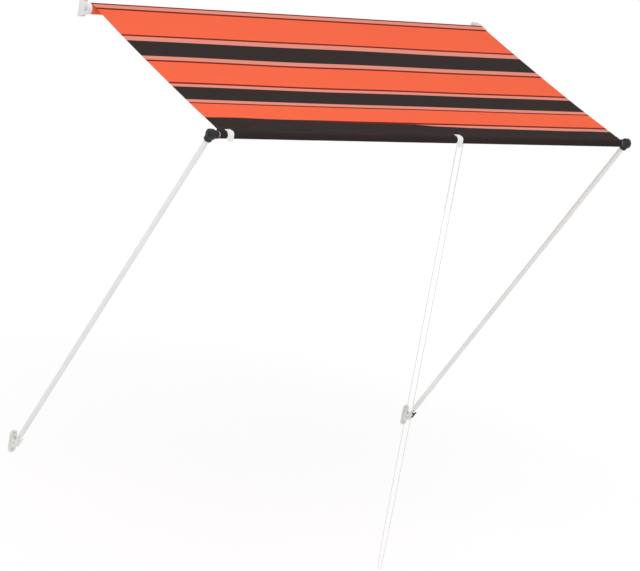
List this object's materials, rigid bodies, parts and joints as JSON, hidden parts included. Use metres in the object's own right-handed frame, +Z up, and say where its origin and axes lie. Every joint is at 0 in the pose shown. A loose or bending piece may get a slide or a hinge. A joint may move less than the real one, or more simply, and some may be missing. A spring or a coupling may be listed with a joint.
{
  "type": "fabric awning",
  "caption": "Wall-hung drop-arm awning: striped cloth from a chain-driven roller to a sleeved front bar on two hinged arms with wall feet.",
  "frame": {"origin": "on the wall's face, level with the roller's axis, at the middle of the cloth's width", "axes": "+X to the right along the roller, +Y into the wall, +Z up"},
  "size_m": [2.104, 1.0723, 2.6103],
  "materials": {
    "bracket_white": "white powder coat, satin",
    "arm_white": "white powder coat, satin",
    "zinc_steel": "zinc plated",
    "galvanised_tube": "galvanised",
    "plastic_white": "moulded, satin",
    "chain_white": "moulded beads",
    "plastic_black": "moulded, satin",
    "cloth_dark": "woven polyester, matte",
    "cloth_roll": "woven polyester, orange, pink and black-brown stripes",
    "cloth_striped": "woven polyester, orange, pink and black-brown stripes"
  },
  "bodies": {
    "frame": {"bracket_left": "bracket_white", "bracket_right": "bracket_white", "bracket_screw_left_lower": "zinc_steel", "bracket_screw_left_upper": "zinc_steel", "bracket_screw_right_lower": "zinc_steel", "bracket_screw_right_upper": "zinc_steel", "idle_pin": "zinc_steel", "clutch_spindle": "zinc_steel", "clutch_housing": "plastic_white", "chain_on_wheel": "chain_white", "bead_chain": "chain_white", "foot_left": "bracket_white", "foot_right": "bracket_white", "foot_screw_left_lower": "zinc_steel", "foot_screw_left_upper": "zinc_steel", "foot_screw_right_lower": "zinc_steel", "foot_screw_right_upper": "zinc_steel", "foot_pin_left": "zinc_steel", "foot_pin_right": "zinc_steel", "fabric_sheet": "cloth_striped"},
    "roller": {"roller_tube": "galvanised_tube", "idle_plug": "plastic_white", "chain_wheel": "plastic_white", "fabric_roll": "cloth_roll"},
    "arm_left": {"arm_tube_left": "arm_white", "arm_rod_left": "arm_white", "arm_catch_left": "plastic_black", "knuckle_left": "plastic_black"},
    "arm_right": {"arm_tube_right": "arm_white", "arm_rod_right": "arm_white", "arm_catch_right": "plastic_black", "knuckle_right": "plastic_black"},
    "front_bar": {"bar_tube": "arm_white", "front_sleeve": "cloth_dark", "bar_plug_left": "plastic_black", "bar_plug_right": "plastic_black", "bar_washer_left": "plastic_white", "bar_washer_right": "plastic_white", "pivot_screw_left": "plastic_black", "pivot_screw_right": "plastic_black", "clip_left": "plastic_white", "clip_middle": "plastic_white"}
  },
  "joints": [
    {"name": "arm_left_swing", "type": "hinge", "parent": "frame", "child": "arm_left", "pos_m": [-1.034, -0.028, -1.828], "axis": [1, 0, 0], "range_deg": [-29.5, 16], "deforming": ["fabric_sheet"]},
    {"name": "arm_right_swing", "type": "hinge", "parent": "frame", "child": "arm_right", "pos_m": [1.034, -0.028, -1.828], "axis": [1, 0, 0], "range_deg": [-29.5, 16]},
    {"name": "front_bar_tilt", "type": "hinge", "parent": "arm_left", "child": "front_bar", "pos_m": [0, -1.05129, -0.24017], "axis": [1, 0, 0], "range_deg": [-7, 12]},
    {"name": "roller_spin", "type": "hinge", "parent": "frame", "child": "roller", "pos_m": [0, -0.055, 0], "axis": [1, 0, 0], "range_deg": [-2300, 1250]}
  ],
  "couplings": [
    {"joint": "arm_right_swing", "follows": "arm_left_swing", "ratio": 1},
    {"joint": "front_bar_tilt", "follows": "arm_left_swing", "ratio": -0.4},
    {"joint": "roller_spin", "follows": "arm_left_swing", "ratio": 77}
  ]
}
